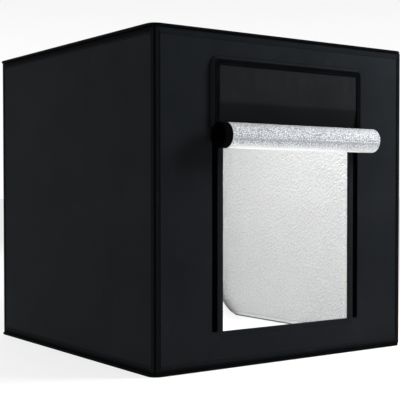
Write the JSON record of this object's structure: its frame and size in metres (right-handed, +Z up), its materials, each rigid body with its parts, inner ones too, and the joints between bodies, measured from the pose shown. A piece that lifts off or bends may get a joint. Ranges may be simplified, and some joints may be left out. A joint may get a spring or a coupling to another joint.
{
  "type": "light tent cube",
  "caption": "Folding cube-shaped light tent with bound black boards, silver linings, a swept white backdrop, roof light bars and a rolled-up door flap over its front window.",
  "frame": {"origin": "on the table under the tent, midway between its sides and midway between the front of the rolled flap and the back edge of the bottom plate", "axes": "+Z up, -Y out of the front window, +X to the right as seen from the front"},
  "size_m": [0.602, 0.6818, 0.6],
  "materials": {
    "coated_board": "matte",
    "binding_tape": "matte",
    "silver_lining": "satin",
    "backdrop": "satin",
    "hook_tape": "matte",
    "flap_cloth": "matte",
    "port_rubber": "matte",
    "bar_metal": "satin",
    "light_board": "satin",
    "bar_cap": "matte",
    "inlet": "satin"
  },
  "bodies": {
    "base": {"bottom_board": "coated_board", "bottom_binding": "binding_tape", "bottom_lining": "silver_lining"},
    "back_panel": {"back_board": "coated_board", "back_binding": "binding_tape", "back_lining": "silver_lining", "backdrop_sheet": "backdrop", "backdrop_tab_left": "hook_tape", "backdrop_tab_right": "hook_tape", "cable_port": "port_rubber"},
    "left_panel": {"left_board": "coated_board", "left_binding": "binding_tape", "left_lining": "silver_lining"},
    "right_panel": {"right_board": "coated_board", "right_binding": "binding_tape", "right_lining": "silver_lining"},
    "roof_panel": {"roof_board": "coated_board", "roof_binding": "binding_tape", "roof_lining": "silver_lining", "bar_front_channel": "bar_metal", "bar_front_board": "light_board", "bar_front_cap_left": "bar_cap", "bar_front_cap_right": "bar_cap", "bar_front_inlet": "inlet", "bar_front_pad_left": "hook_tape", "bar_front_pad_right": "hook_tape", "bar_rear_channel": "bar_metal", "bar_rear_board": "light_board", "bar_rear_cap_left": "bar_cap", "bar_rear_cap_right": "bar_cap", "bar_rear_inlet": "inlet", "bar_rear_pad_left": "hook_tape", "bar_rear_pad_right": "hook_tape"},
    "front_panel": {"front_board": "coated_board", "front_binding": "binding_tape", "front_lining": "silver_lining", "window_binding": "binding_tape", "hook_strip_left": "hook_tape", "hook_strip_right": "hook_tape"},
    "door_flap": {"flap_cloth": "flap_cloth", "flap_lining": "silver_lining", "flap_hem": "flap_cloth", "flap_border": "binding_tape"}
  },
  "joints": [
    {"name": "back_fold", "type": "hinge", "parent": "base", "child": "back_panel", "pos_m": [0, 0.33665, 0.00515], "axis": [-1, 0, 0], "range_deg": [0, 90]},
    {"name": "left_fold", "type": "hinge", "parent": "back_panel", "child": "left_panel", "pos_m": [-0.296, 0.3365, 0.3], "axis": [0, 0, -1], "range_deg": [0, 90]},
    {"name": "right_fold", "type": "hinge", "parent": "back_panel", "child": "right_panel", "pos_m": [0.296, 0.3365, 0.3], "axis": [0, 0, 1], "range_deg": [0, 90]},
    {"name": "roof_fold", "type": "hinge", "parent": "back_panel", "child": "roof_panel", "pos_m": [0, 0.33665, 0.59485], "axis": [-1, 0, 0], "range_deg": [0, 90]},
    {"name": "front_fold", "type": "hinge", "parent": "roof_panel", "child": "front_panel", "pos_m": [0, -0.28765, 0.59485], "axis": [-1, 0, 0], "range_deg": [0, 90]},
    {"name": "flap_lift", "type": "hinge", "parent": "front_panel", "child": "door_flap", "pos_m": [0, -0.2867, 0.55435], "axis": [-1, 0, 0], "range_deg": [0, 120]}
  ]
}
